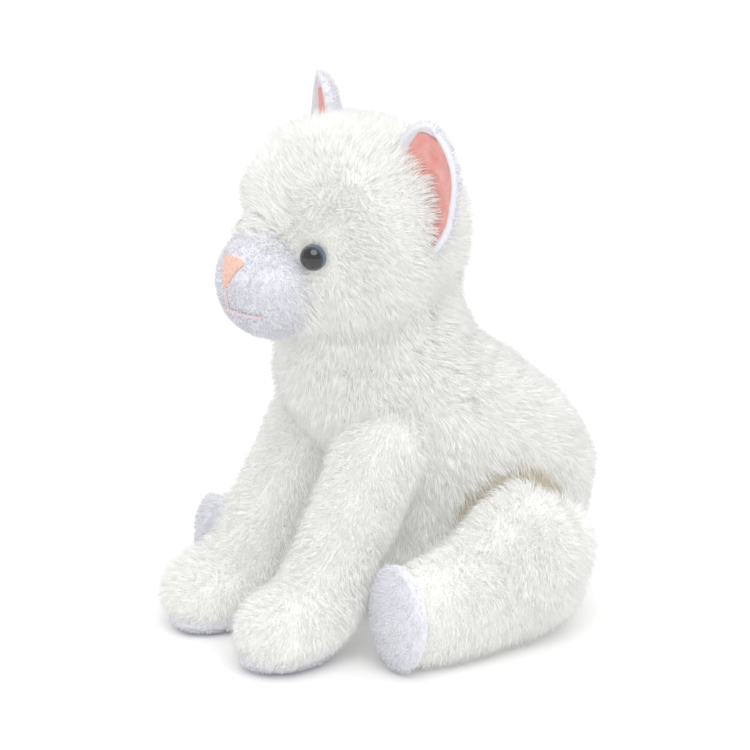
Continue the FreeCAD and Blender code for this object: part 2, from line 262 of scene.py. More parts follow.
# Painted shade: the thread's colour is mottled light and dark, standing in for the shade of its twist.
two_tone(tree, shader, 0.8, "#E9CACD", "#F5E1E2", bump_mm=0.2)
print("cloths", [material.name for material in (backing, short_backing, satin, nose_satin, thread)])

# %% [markdown]
# ## Surfaces of rings
# Every skin here is a stack of closed rings with a pole at each end. The rings are an
# array of shape (rings, points, 3), in millimetres.

# %% Ring surfaces
POINTS_ROUND = 96
LOWEST = 0.1             # nothing of the cat is below this height: it lies flat on the floor there


def object_from_arrays(name, points, triangles, material):
    """Put arrays of points in millimetres and triangles into a new mesh object."""
    points = np.array(points, float)
    points[:, 2] = np.maximum(points[:, 2], LOWEST)
    mesh = bpy.data.meshes.new(name)
    mesh.vertices.add(len(points))
    mesh.vertices.foreach_set("co", (np.asarray(points, np.float32) * MM).ravel())
    mesh.loops.add(3 * len(triangles))
    mesh.polygons.add(len(triangles))
    mesh.loops.foreach_set("vertex_index", np.asarray(triangles, np.int32).ravel())
    mesh.polygons.foreach_set("loop_start", np.arange(0, 3 * len(triangles), 3, dtype=np.int32))
    mesh.polygons.foreach_set("use_smooth", np.full(len(triangles), True))
    mesh.update()
    mesh.validate()
    mesh.materials.append(material)
    return link_object(name, mesh)


def ring_mesh(rings):
    """Points and triangles of a stack of rings, closed by a fan to a pole at each end."""
    count, around = rings.shape[:2]
    poles = np.array([rings[0].mean(axis=0), rings[-1].mean(axis=0)])
    points = np.concatenate([rings.reshape(-1, 3), poles])
    row, column = np.meshgrid(np.arange(count - 1), np.arange(around), indexing="ij")
    following = (column + 1) % around
    a, b = row * around + column, row * around + following
    c, d = a + around, b + around
    halves = [np.stack([a, b, d], -1).reshape(-1, 3), np.stack([a, d, c], -1).reshape(-1, 3)]
    spot = np.arange(around)
    after = (spot + 1) % around
    start_pole, end_pole = count * around, count * around + 1
    last = (count - 1) * around
    first_fan = np.stack([np.full(around, start_pole), after, spot], -1)
    last_fan = np.stack([np.full(around, end_pole), last + spot, last + after], -1)
    return points, np.concatenate([*halves, first_fan, last_fan])


def outward(points, triangles):
    """Flip the triangles if the closed mesh's signed volume is negative."""
    p, q, r = (points[triangles[:, k]] for k in range(3))
    volume = np.einsum("ij,ij->i", p, np.cross(q, r)).sum()
    return triangles if volume > 0 else triangles[:, ::-1]


def skin_object(name, rings, material):
    """A closed skin from rings."""
    points, triangles = ring_mesh(rings)
    return object_from_arrays(name, points, outward(points, triangles), material)


print("skins have", POINTS_ROUND, "points round and lie", LOWEST, "mm or more above the floor")

# %% [markdown]
# ### Stuffed limbs
# A limb's middle is a smooth curve through a few places, and its rings stand square to that
# curve. Each end is closed by a quarter turn of smaller and smaller rings, because a
# stuffed bag has no flat ends.

# %% Limb rings
END_RINGS = 8            # rings that close each end of a limb
END_START = 0.08         # how far round its quarter turn the first of them is


def through(knots, steps):
    """Catmull-Rom curve through rows of knots: each span blends its four nearest knots."""
    knots = np.asarray(knots, float)
    padded = np.vstack([2 * knots[0] - knots[1], knots, 2 * knots[-1] - knots[-2]])
    place = np.linspace(0, len(knots) - 1, steps)
    span = np.minimum(place.astype(int), len(knots) - 2)
    t = (place - span)[:, None]
    p0, p1, p2, p3 = (padded[span + k] for k in range(4))
    return 0.5 * (2 * p1 + (p2 - p0) * t + (2 * p0 - 5 * p1 + 4 * p2 - p3) * t ** 2
                  + (3 * p1 - p0 - 3 * p2 + p3) * t ** 3)


def limb_rings(knots, steps, reference=(1.0, 0.0, 0.0)):
    """Rings of a limb through knots of (x, y, z, half width, half height).

    The width lies along the reference, made square to the path, and the height across
    both; each end is closed by a quarter turn of smaller and smaller rings, of radius
    sin(a) at a distance cos(a) past the end.
    """
    line = through(knots, steps)
    centres, widths, heights = line[:, :3], line[:, 3], line[:, 4]
    tangents = np.gradient(centres, axis=0)
    tangents /= np.linalg.norm(tangents, axis=1)[:, None]
    reference = np.array(reference)
    side = reference - tangents * (tangents @ reference)[:, None]
    side /= np.linalg.norm(side, axis=1)[:, None]
    top = np.cross(side, tangents)
    turn = np.linspace(END_START, 1.0, END_RINGS, endpoint=False) * math.pi / 2
    parts = []
    for end, sign in ((0, -1.0), (-1, 1.0)):
        reach = (widths[end] + heights[end]) / 2
        centre = centres[end] + sign * tangents[end] * (np.cos(turn) * reach)[:, None]
        rows = (centre, widths[end] * np.sin(turn), heights[end] * np.sin(turn),
                np.repeat(side[end][None], END_RINGS, 0), np.repeat(top[end][None], END_RINGS, 0))
        parts.append(tuple(row if sign < 0 else row[::-1] for row in rows))
    rows = zip(parts[0], (centres, widths, heights, side, top), parts[1])
    centre, width, height, across, up = (np.concatenate(row) for row in rows)
    angle = np.linspace(0, 2 * math.pi, POINTS_ROUND, endpoint=False)
    return (centre[:, None] + (width[:, None] * np.cos(angle))[..., None] * across[:, None]
            + (height[:, None] * np.sin(angle))[..., None] * up[:, None])


print("each end of a limb is closed by", END_RINGS, "rings")

# %% [markdown]
# ## The pile
# A plush fibre stands out of the backing, leans the way the cloth was brushed and bends
# over, and neighbours cling together in small tufts. The pile could be a hair system, but
# only a mesh goes with the cat when it is exported, so each fibre is a few triangles.
# First the fibres' roots are scattered evenly over a skin.

# %% Scatter
def scatter(rings, per_mm2, seed):
    """Even random points on a ring surface, with outward normals.

    A quad is drawn with a chance in proportion to its area, then a point inside it.
    """
    corner = rings[:-1], rings[1:]
    a, b = corner[0], np.roll(corner[0], -1, axis=1)
    c, d = corner[1], np.roll(corner[1], -1, axis=1)
    cross = np.cross(d - a, c - b)
    area = np.linalg.norm(cross, axis=2).ravel() / 2
    rng = np.random.default_rng(seed)
    chosen = rng.choice(len(area), int(area.sum() * per_mm2), p=area / area.sum())
    a, b, c, d, cross = (part.reshape(-1, 3)[chosen] for part in (a, b, c, d, cross))
    u, v = rng.random((2, len(chosen), 1))
    points = (a * (1 - u) + b * u) * (1 - v) + (c * (1 - u) + d * u) * v
    normals = cross / np.maximum(np.linalg.norm(cross, axis=1), 1e-9)[:, None]
    middle = rings.reshape(-1, 3).mean(axis=0)
    facing = np.einsum("ij,ij->i", normals, points - middle).sum()
    return points, normals if facing > 0 else -normals


def unit(vectors):
    """Rows scaled to length one."""
    return vectors / np.maximum(np.linalg.norm(vectors, axis=-1, keepdims=True), 1e-9)


def smooth_noise(points, scale_mm, seed):
    """Three soft random waves per axis: sin of a random direction times the place."""
    rng = np.random.default_rng(seed)
    waves = rng.normal(size=(6, 3)) / scale_mm
    phases = rng.random((3, 6)) * 2 * math.pi
    return np.stack([np.sin(points @ waves.T * 2.2 + phase).sum(axis=1) / 3 for phase in phases], -1)


print("soft noise at the origin", smooth_noise(np.zeros((1, 3)), 10.0, 0).round(3))

# %% [markdown]
# ### Fibres
# Each fibre is a three-sided spike whose tip is drawn towards the middle of its tuft. Two
# in five are bent and make the coat. The rest are the straight undercoat, which fills it
# with fewer faces. A real fibre is about 0.02 mm wide. Here each stands for a bundle of
# them, 0.34 mm wide, because a single one is too fine to show.

# %% Grow
BENT_TRIANGLES = np.array([
    (0, 2, 1), (0, 1, 4), (0, 4, 3), (1, 2, 5), (1, 5, 4), (2, 0, 3), (2, 3, 5),
    (3, 4, 6), (4, 5, 6), (5, 3, 6)])
STRAIGHT_TRIANGLES = np.array([(0, 2, 1), (0, 1, 3), (1, 2, 3), (2, 0, 3)])
BENT_SHARE = 0.4                   # of all fibres; the rest are the straight undercoat
LENGTHS, WIDTHS = (0.75, 1.15), (0.7, 1.25)     # shares of a fibre's length and width
BUNDLE = 0.34                      # mm across
ROOT_DEPTH = 0.8                   # mm that a fibre starts inside the backing
WANDER, WANDER_SCALE = 0.55, 14.0  # how much the brushing wanders, over how many mm
CLING = 0.3                        # how far a tip is drawn to its tuft
STRAY = 0.17                       # how much a fibre strays from its neighbours
CELL_EDGE, CELL_SCALE = 0.35, 9.0  # how ragged a tuft's edge is, over how many mm
CELL_KEYS = 73856093, 19349663, 83492791        # large primes that tell the cells apart


def grow(name, points, normals, comb, length, material, seed, width=BUNDLE, lean=0.7, tuft=4.0):
    """Fibres on points: a root ring and a tip, and on the bent ones a middle ring.

    middle = root + 0.5 length * (normal + 0.45 lean * comb), tip = root + length * (normal +
    lean * comb) made unit, then moved by CLING towards the mean tip of its tuft cell.
    """
    rng = np.random.default_rng(seed)
    count = len(points)
    length = np.broadcast_to(length, count) * rng.uniform(*LENGTHS, count)
    wander = smooth_noise(points, WANDER_SCALE, seed + 1)
    comb = comb + WANDER * wander + rng.normal(scale=STRAY, size=(count, 3))
    comb -= normals * np.einsum("ij,ij->i", comb, normals)[:, None]
    middle = points + unit(normals + 0.45 * lean * comb) * (0.5 * length)[:, None]
    tip = points + unit(normals + lean * comb) * length[:, None]
    ragged = CELL_EDGE * smooth_noise(points, CELL_SCALE, seed + 2)
    cell = np.floor(points / tuft + ragged).astype(np.int64) * CELL_KEYS
    _, group = np.unique(cell[:, 0] ^ cell[:, 1] ^ cell[:, 2], return_inverse=True)
    members = np.bincount(group)
    mean_tip = np.stack([np.bincount(group, tip[:, k]) for k in range(3)], -1) / members[:, None]
    pull = (CLING * rng.uniform(0.5, 1.0, count))[:, None]
    tip += (mean_tip[group] - tip) * pull
    middle += (mean_tip[group] - tip) * pull * 0.12
    axis = unit(tip - points)
    across = unit(np.cross(axis, rng.normal(size=(count, 3))))
    other = np.cross(axis, across)
    turn = np.arange(3) * 2 * math.pi / 3
    spoke = np.cos(turn)[None, :, None] * across[:, None] + np.sin(turn)[None, :, None] * other[:, None]
    thick = (width * rng.uniform(*WIDTHS, count) / 2)[:, None, None]
    roots = (points - ROOT_DEPTH * normals)[:, None] + spoke * thick
    bends = middle[:, None] + spoke * thick * 0.85
    bent = int(count * BENT_SHARE)
    bent_points = np.concatenate([roots[:bent], bends[:bent], tip[:bent, None]], axis=1)
    straight_points = np.concatenate([roots[bent:], tip[bent:, None]], axis=1)
    bent_faces = np.arange(bent)[:, None, None] * 7 + BENT_TRIANGLES
    straight_faces = bent * 7 + np.arange(count - bent)[:, None, None] * 4 + STRAIGHT_TRIANGLES
    vertices = np.concatenate([bent_points.reshape(-1, 3), straight_points.reshape(-1, 3)])
    triangles = np.concatenate([bent_faces.reshape(-1, 3), straight_faces.reshape(-1, 3)])
    obj = object_from_arrays(name, vertices, triangles, material)
    obj.data.materials.append(UNDERCOATS[material])
    kinds = (np.arange(len(triangles)) >= bent * len(BENT_TRIANGLES)).astype(np.int32)
    obj.data.polygons.foreach_set("material_index", kinds)
    print(name, count, "fibres", len(triangles), "triangles")
    return obj


# %% [markdown]
# ## Where the parts are
# The frame's joints give the middle of the neck, the shoulder and the hips, and its CAD
# nodes give the eyes, the nose and the soles. The skull's ball, the muzzle's egg and the
# thigh have the same sizes as in the CAD. All of these are in millimetres here.

# %% Places from the frame
joints = {joint["name"]: joint for joint in frame["record"]["behaviour"]["joints"]}
neck = np.array(joints["head_turn"]["pos_m"]) / MM
shoulder = np.array(joints["foreleg_swing_left"]["pos_m"]) / MM
hip_left = np.array(joints["hind_leg_lift_left"]["pos_m"]) / MM
hip_right = np.array(joints["hind_leg_lift_right"]["pos_m"]) / MM
HEAD_ROLL = math.radians(5.0)
SKULL = np.array([0.0, -17.0, 188.0])
SKULL_R = 51.5
MUZZLE = np.array([0.0, -60.0, 168.0])
MUZZLE_SEMI = np.array([25.0, 24.0, 26.0])
THIGH_SEMI = np.array([27.0, 40.0, 38.0])
PILE_REACH = 8.0       # how far the long pile stands out of its backing


def rolled(points):
    """Lean points of the upright head to the cat's left, about the neck's centre."""
    c, s = math.cos(HEAD_ROLL), math.sin(HEAD_ROLL)
    turn = np.array([[c, 0.0, s], [0.0, 1.0, 0.0], [-s, 0.0, c]])
    return (np.asarray(points) - neck) @ turn.T + neck


def mirrored(points):
    """The same points on the other side."""
    return points * np.array([-1.0, 1.0, 1.0])


def node_middle(node):
    """The middle of a CAD node's box, in millimetres."""
    low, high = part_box(node)
    return (np.array(low) + np.array(high)) / 2 / MM


eye_left, eye_right = node_middle("eye_dome_left"), node_middle("eye_dome_right")
print("neck", neck, "shoulder", shoulder, "eyes", eye_left, eye_right)

# %% [markdown]
# ## Where no pile grows
# Where one bag goes into another its pile would show through the other's skin, so fibres
# are left out there. A few tests say which points are inside a ball or an ellipsoid, and a
# smooth step shortens the pile towards an edge.

# %% Inside tests
def in_ball(points, centre, radius):
    """True where a point is in a ball."""
    return np.linalg.norm(points - centre, axis=1) < radius


def in_ellipsoid(points, centre, semi, margin=0.0):
    """True where the point, scaled by the half axes and a margin, is in the unit ball."""
    return np.linalg.norm((points - centre) / (np.asarray(semi) + margin), axis=1) < 1.0


def smoothstep(values, low, high):
    """3 t^2 - 2 t^3 between low and high."""
    t = np.clip((values - low) / (high - low), 0.0, 1.0)
    return t * t * (3 - 2 * t)


print("half way up a smooth step:", smoothstep(0.5, 0.0, 1.0))

# %% [markdown]
# ## Trunk
# The trunk is a pear-shaped bag with a flat seat. Its skin is a stack of level ellipses,
# smoothed along the height, and stands back from the CAD cover by the reach of the pile.

# %% Trunk skin
TRUNK_LEVELS = np.array([      # height, middle in y, half width, half depth
    (1.0, 32.0, 24.0, 30.0), (4.0, 34.0, 38.0, 44.0), (12.0, 38.0, 46.0, 53.5),
    (35.0, 45.0, 50.0, 65.5), (60.0, 48.5, 53.0, 71.0), (85.0, 38.5, 57.5, 69.0),
    (108.0, 18.0, 55.0, 66.0), (129.0, 0.0, 47.0, 53.0), (146.0, -6.0, 45.0, 46.5),
    (162.0, -11.0, 46.0, 47.0), (176.0, -14.0, 48.0, 48.0)])
LOWER_NECK = 115.0, 143.0
UPPER_NECK = 141.0, 172.0
TRUNK_BOTTOM, TRUNK_TOP = 1.5, 129.0


def trunk_rings(low, high, count, inset):
    """Level ellipses between two heights, standing back from the levels by inset."""
    line = through(TRUNK_LEVELS, 400)
    heights = np.linspace(low, high, count)
    middle, half_x, half_y = (np.interp(heights, line[:, 0], line[:, k]) for k in (1, 2, 3))
    angle = np.linspace(0, 2 * math.pi, POINTS_ROUND, endpoint=False)
    return np.stack([(half_x - inset)[:, None] * np.cos(angle),
                     middle[:, None] + (half_y - inset)[:, None] * np.sin(angle),
                     np.repeat(heights[:, None], POINTS_ROUND, 1)], -1)


def in_trunk_levels(points, inset):
    """True where (x / (a - inset))^2 + ((y - m) / (b - inset))^2 < 1 at the point's height."""
    middle, half_x, half_y = (np.interp(points[:, 2], TRUNK_LEVELS[:, 0], TRUNK_LEVELS[:, k])
                              for k in (1, 2, 3))
    across, along = points[:, 0] / (half_x - inset), (points[:, 1] - middle) / (half_y - inset)
    return across ** 2 + along ** 2 < 1


trunk = trunk_rings(TRUNK_BOTTOM, TRUNK_TOP, 72, PILE_REACH)
trunk_skin = skin_object("trunk_skin", trunk, backing)
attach(trunk_skin, "torso")
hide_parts("torso_cover", "torso_stuffing", "pellet_bag", "closing_seam")
print("trunk skin", len(trunk), "rings, from", TRUNK_BOTTOM, "to", TRUNK_TOP, "mm")

# %% [markdown]
# ### The trunk's pile
# The cloth is brushed down and back. The pile is shorter under the seat, where the cat's
# weight presses it, and there is none in the shoulders and the hips. The pile in the crease
# over each thigh is painted cream as painted shade, and is a piece of its own. The rest is
# in two pieces, front and back, to keep each one light.

# %% Trunk pile
LONG_DENSITY = 1.25     # fibres per square millimetre of backing
LONG_PILE = 10.5
SEAT_PILE, SEAT_TOP = 0.45, 26.0           # its share of the length, and where it ends
SHOULDER_ROOM, THIGH_ROOM = 17.0, 9.0      # a ball's radius, and an ellipsoid's inset
# How far past each thigh, and above what height, the pile is painted cream as painted shade.
CREASE_REACH, CREASE_LOW = 6.0, 50.0
DOWN_BACK = np.array([0.0, 0.35, -1.0])


def in_leg_rooms(points):
    """True where a point is deep in a shoulder or a thigh."""
    hidden = np.zeros(len(points), bool)
    for side in (1.0, -1.0):
        hidden |= in_ball(points, shoulder * (side, 1, 1), SHOULDER_ROOM)
    for hip in (hip_left, hip_right):
        hidden |= in_ellipsoid(points, hip, THIGH_SEMI, -THIGH_ROOM)
    return hidden


points, normals = scatter(trunk, LONG_DENSITY, 11)
keep = ~in_leg_rooms(points) & (points[:, 2] < TRUNK_TOP - 1.0)
points, normals = points[keep], normals[keep]
length = LONG_PILE * (SEAT_PILE + (1 - SEAT_PILE) * smoothstep(points[:, 2], 2.0, SEAT_TOP))
# The crease mask: fibres near each thigh whose pile is painted cream as painted shade.
crease = np.zeros(len(points), bool)
for hip in (hip_left, hip_right):
    crease |= in_ellipsoid(points, hip, THIGH_SEMI, CREASE_REACH) & (points[:, 2] > CREASE_LOW)
front = points[:, 1] < points[:, 1].mean()
for part, chosen, material in (("front", front & ~crease, pile_white),
                               ("back", ~front & ~crease, pile_white),
                               ("crease", crease, pile_crease_shade)):
    pile = grow("trunk_pile_" + part, points[chosen], normals[chosen], DOWN_BACK, length[chosen],
                material, 21)
    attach(pile, "torso")

# %% [markdown]
# ## Neck
# The neck's cloth twists below and nods above, so it is two bands that overlap.

# %% Neck skins and pile
for name, (low, high), bodies, seed in (("lower_neck", LOWER_NECK, ("torso", "neck"), 31),
                                        ("upper_neck", UPPER_NECK, ("neck", "head"), 41)):
    band = trunk_rings(low, high, 24, PILE_REACH)
    skin = skin_object(name + "_skin", band, backing)
    points, normals = scatter(band, LONG_DENSITY, seed)
    keep = ~in_ellipsoid(points, MUZZLE, MUZZLE_SEMI, -1.0)
    pile = grow(name + "_pile", points[keep], normals[keep], DOWN_BACK, LONG_PILE, pile_white, seed + 1)
    for piece in (skin, pile):
        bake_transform(piece)
    if name == "lower_neck":
        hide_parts("neck_stuffing")

# %% [markdown]
# ## Head
# The head is nearly a ball, a little full in the forehead and the cheeks, that runs
# smoothly into the muzzle. Its skin is where a ray from the skull's centre leaves a smooth
# union of the two, found by halving, because such a union has no formula of its own.

# %% Head skin
FULL_PLACES = (      # direction from the skull's centre, how far it stands out, its spread
    ((0.50, -0.50, 0.62), 4.5, 0.20), ((0.72, -0.45, -0.50), 3.0, 0.16))
MUZZLE_BLEND = 13.0
HEAD_INSET, MUZZLE_INSET = PILE_REACH - 0.5, 3.6
HALVINGS, FARTHEST_SKIN = 30, 90.0
HEAD_RINGS, HEAD_POINTS = 110, 144


def ellipsoid_distance(points, centre, semi):
    """Nearly the distance to an ellipsoid: k (k - 1) / |grad|, with k = |(p - c) / s|."""
    offset = points - centre
    k = np.linalg.norm(offset / semi, axis=-1)
    slope = np.linalg.norm(offset / np.asarray(semi) ** 2, axis=-1)
    return k * (k - 1.0) / np.maximum(slope, 1e-6)


def smooth_union(first, second, blend):
    """min(a, b) - h^2 / (4 blend), with h = max(blend - |a - b|, 0)."""
    h = np.maximum(blend - np.abs(first - second), 0.0)
    return np.minimum(first, second) - h * h / (4.0 * blend)


def ways_round(rings, around, pole_gap):
    """Unit vectors (sin p cos a, sin p sin a, cos p), p from pole_gap to pi - pole_gap."""
    polar = np.linspace(pole_gap, math.pi - pole_gap, rings)[:, None]
    angle = np.linspace(0, 2 * math.pi, around, endpoint=False)[None]
    return np.stack([np.sin(polar) * np.cos(angle), np.sin(polar) * np.sin(angle),
                     np.cos(polar) * np.ones_like(angle)], -1)


def head_rings():
    """Rings about the head's upright axis, each point found along its ray by halving.

    The ball stands out by h exp(-(1 - cos) / w) round the ways to its full places.
    """
    way = ways_round(HEAD_RINGS, HEAD_POINTS, 0.03)
    fullness = np.zeros(way.shape[:2])
    for (x, y, z), rise, spread in FULL_PLACES:
        for side in (1.0, -1.0):
            fullness += rise * np.exp(-((1 - way @ unit(np.array([x * side, y, z]))) / spread))
    near, far = np.zeros(way.shape[:2]), np.full(way.shape[:2], FARTHEST_SKIN)
    for _ in range(HALVINGS):
        middle = (near + far) / 2
        points = SKULL + way * middle[..., None]
        skull_gap = middle - (SKULL_R - HEAD_INSET + fullness)
        muzzle_gap = ellipsoid_distance(points, MUZZLE, MUZZLE_SEMI - MUZZLE_INSET)
        inside = smooth_union(skull_gap, muzzle_gap, MUZZLE_BLEND) < 0
        near, far = np.where(inside, middle, near), np.where(inside, far, middle)
    return rolled(SKULL + way * near[..., None])


skull, muzzle = rolled(SKULL), rolled(MUZZLE)
head = head_rings()
head_skin = skin_object("head_skin", head, backing)
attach(head_skin, "head")
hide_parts("head_cover", "head_stuffing", "neck_seam", "muzzle_stuffing")
print("head skin from", head.min(axis=(0, 1)).round(1), "to", head.max(axis=(0, 1)).round(1))

# %% [markdown]
# ### The head's pile
# The pile is combed away from the nose. It is shorn short round the eyes, up the bridge of
# the nose and at the ears' roots, so that they show, and it stops in front at the short
# plush of the muzzle and below where the head sits in the neck.

# %% Head pile
HEAD_DENSITY = LONG_DENSITY * 1.15
EYE_CLEAR, EYE_SHORN = 7.4, (7.0, 18.0)        # no fibre, and shorn fibres, this near an eye
EAR_ROOT, EAR_SHORN = np.array([46.0, -22.0, 206.0]), (8.0, 20.0)
EDGE_BACK, EDGE_SLANT, EDGE_RISE = 14.0, 0.55, 60.0     # the long pile's edge behind the muzzle
FOREHEAD = 180.0, 196.0                        # heights over which that edge goes forward
EDGE_FADE = -9.0, 5.0                          # from bare to full length, past the edge
CHIN, NECK_INSET, NECK_TOP = 147.0, 9.0, 168.0

points, normals = scatter(head, HEAD_DENSITY, 51)
to_eye = np.minimum(*(np.linalg.norm(points - eye, axis=1) for eye in (eye_left, eye_right)))
edge = (muzzle[1] + EDGE_BACK - EDGE_SLANT * np.abs(points[:, 0] - muzzle[0])
        - EDGE_RISE * smoothstep(points[:, 2], *FOREHEAD))
in_neck = in_trunk_levels(points, NECK_INSET) & (points[:, 2] < NECK_TOP)
keep = (to_eye > EYE_CLEAR) & (points[:, 1] > edge + EDGE_FADE[0]) & (points[:, 2] > CHIN) & ~in_neck
points, normals, to_eye, edge = points[keep], normals[keep], to_eye[keep], edge[keep]
length = LONG_PILE * (0.30 + 0.70 * smoothstep(points[:, 1] - edge, *EDGE_FADE))
length *= 0.42 + 0.58 * smoothstep(to_eye, *EYE_SHORN)
ear_roots = rolled(np.array([EAR_ROOT, mirrored(EAR_ROOT)]))
to_ear = np.minimum(*(np.linalg.norm((points - root) / (1.0, 1.0, 1.6), axis=1) for root in ear_roots))
length *= 0.55 + 0.45 * smoothstep(to_ear, *EAR_SHORN)
from_nose = points - (muzzle + np.array([0.0, -6.0, 6.0]))
comb = unit(from_nose) * 0.8 + np.array([0.0, 0.0, -0.35])
left_half = points[:, 0] > 0
for part, chosen in (("left", left_half), ("right", ~left_half)):
    pile = grow("head_pile_" + part, points[chosen], normals[chosen], comb[chosen], length[chosen],
                pile_white, 61, lean=0.6)
    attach(pile, "head")

# %% [markdown]
# ## Muzzle
# The muzzle is a small egg of short-pile plush. Its fibres stand almost straight and are
# clipped to about two and a half millimetres, so it looks like velvet beside the long
# pile. None grow under the satin nose, which narrows downwards.

# %% Muzzle skin
EGG_SHIFT, EGG_INSET = (0.0, -0.4, 1.0), (0.8, 0.4, 1.4)


def egg_rings(centre, semi, count=60):
    """Rings of an ellipsoid about the upright axis: centre + way * half axes."""
    return centre + ways_round(count, POINTS_ROUND, 0.04) * np.asarray(semi)


muzzle_rings = rolled(egg_rings(MUZZLE + EGG_SHIFT, MUZZLE_SEMI - EGG_INSET))
muzzle_skin = skin_object("muzzle_skin", muzzle_rings, short_backing)
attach(muzzle_skin, "head")
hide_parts("muzzle_cover")
print("muzzle skin about", muzzle.round(1))

# %% Muzzle pile
MUZZLE_DENSITY, MUZZLE_PILE = 2.2, 2.6
SHORT_TUFT, SHORT_BUNDLE = 2.2, 0.4
nose_low, nose_high = (np.array(corner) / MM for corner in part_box("nose_patch"))

points, normals = scatter(muzzle_rings, MUZZLE_DENSITY, 71)
keep = points[:, 1] < muzzle[1] + 18.0 - EDGE_SLANT * np.abs(points[:, 0] - muzzle[0])
height = (points[:, 2] - nose_low[2]) / (nose_high[2] - nose_low[2])
half_nose = (nose_high[0] - nose_low[0]) / 2 * np.clip(height, 0.12, 1.0)
middle_x = (nose_low[0] + nose_high[0]) / 2
keep &= ~((points[:, 1] < nose_high[1]) & (height > -0.02) & (height < 1.03)
          & (np.abs(points[:, 0] - middle_x) < half_nose + 0.4))
points, normals = points[keep], normals[keep]
comb = unit(points - nose_low) + np.array([0, 0, -0.3])
pile = grow("muzzle_pile", points, normals, comb, MUZZLE_PILE, pile_short, 72,
            width=0.38, lean=0.6, tuft=SHORT_TUFT)
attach(pile, "head")

# %% [markdown]
# ## Legs
# Each foreleg is a straight stuffed tube that ends in a round paw; each hind leg is a full
# thigh that narrows to a foot with its sole to the front. The soles are cushioned ovals of
# short plush. A tube whose width and height change along a curve makes all four.

# %% Leg and sole
def leg(name, body, rings, comb, length, grows, seed, replaced):
    """Skin and pile of one leg; length and grows are functions of the points."""
    skin = skin_object(name + "_skin", rings, backing)
    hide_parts(*replaced)
    points, normals = scatter(rings, LONG_DENSITY, seed)
    keep = grows(points)
    points, normals = points[keep], normals[keep]
    pile = grow(name + "_pile", points, normals, comb, length(points), pile_white, seed + 1)
    for piece in (skin, pile):
        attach(piece, body)


SOLE_DENSITY, SOLE_PILE = 1.9, 2.2


def sole(name, body, centre, semi, seed, facing):
    """A cushioned oval of short plush, with its own fine pile on the side it faces."""
    rings = egg_rings(np.asarray(centre), semi, 40)
    skin = skin_object(name + "_skin", rings, short_backing)
    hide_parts(name)
    points, normals = scatter(rings, SOLE_DENSITY, seed)
    keep = normals @ np.asarray(facing) > 0.05
    pile = grow(name + "_pile", points[keep], normals[keep], np.array([0.0, -0.2, -0.6]), SOLE_PILE,
                pile_short, seed + 1, width=SHORT_BUNDLE, lean=0.6, tuft=SHORT_TUFT)
    for piece in (skin, pile):
        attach(piece, body)


# %% [markdown]
# ### The four legs
# A leg is given by a few places along its middle, with its half width and half height at
# each. They are measured from its joint, at the left leg, and turned over for the right.

# %% Legs
FORELEG_KNOTS = np.array([     # x, y, z, half width, half height
    (-3.0, 2.0, 2.0, 17.5, 17.0), (-1.0, -14.0, -26.0, 16.0, 16.0), (0.0, -30.0, -53.0, 14.5, 15.5),
    (1.5, -42.0, -71.0, 17.0, 17.5), (2.0, -60.0, -78.0, 18.5, 14.0)])
HIND_KNOTS = np.array([
    (-1.0, 14.0, 2.0, 13.0, 19.0), (0.0, 6.0, -0.5, 19.5, 29.5), (1.0, -4.0, -2.0, 21.0, 32.0),
    (4.0, -22.0, -7.0, 17.5, 27.0), (6.5, -42.0, -12.0, 15.5, 22.5), (7.0, -64.0, -13.5, 15.5, 21.5)])
FORELEG_PILE, HIND_PILE = 8.6, 9.5
PAW_SEMI, FOOT_SEMI = (16.0, 23.0, 6.0), (19.0, 6.5, 24.0)

for side, sign, hip in (("left", 1.0, hip_left), ("right", -1.0, hip_right)):
    flip = np.array([sign, 1.0, 1.0, 1.0, 1.0])
    knots = FORELEG_KNOTS * flip
    knots[:, :3] += shoulder * (sign, 1, 1)
    leg("foreleg_" + side, "foreleg_" + side, limb_rings(knots, 60), np.array([0.0, -0.5, -0.9]),
        lambda p: FORELEG_PILE * (0.6 + 0.4 * smoothstep(p[:, 2], 4.0, 30.0)),
        lambda p: p[:, 2] > 5.0, 81 + int(sign), ("foreleg_cover_" + side, "foreleg_stuffing_" + side))
    paw = node_middle("foreleg_sole_" + side)
    sole("foreleg_sole_" + side, "foreleg_" + side, paw + (0, -1.0, 5.0), PAW_SEMI,
         91 + int(sign), (0.0, -0.6, -0.5))
    knots = HIND_KNOTS * flip
    knots[:, :3] += hip
    foot = node_middle("hind_leg_sole_" + side)
    leg("hind_leg_" + side, "hind_leg_" + side, limb_rings(knots, 70), np.array([0.0, -0.6, -0.6]),
        lambda p: HIND_PILE * (0.55 + 0.45 * smoothstep(p[:, 1], foot[1], foot[1] + 40.0)),
        lambda p: (p[:, 1] > foot[1] - 0.5) & (p[:, 2] > 3.0), 101 + int(sign),
        ("hind_leg_cover_" + side, "hind_leg_stuffing_" + side))
    sole("hind_leg_sole_" + side, "hind_leg_" + side, foot + (-2.5 * sign, -2.0, -1.0), FOOT_SEMI,
         111 + int(sign), (0.0, -1.0, 0.0))

# %% [markdown]
# ## Tail
# A slim stuffed tube that lies round the right of the rump. Its middle follows a part of
# a circle, and it thins towards the tip.

# %% Tail
TAIL_CENTRE, TAIL_ARC, TAIL_TURN = np.array([-30.0, 38.0, 12.5]), 56.0, (-26.0, 60.0)
TAIL_KNOTS, TAIL_THICK, TAIL_PILE = 9, (5.5, 4.0), 8.0

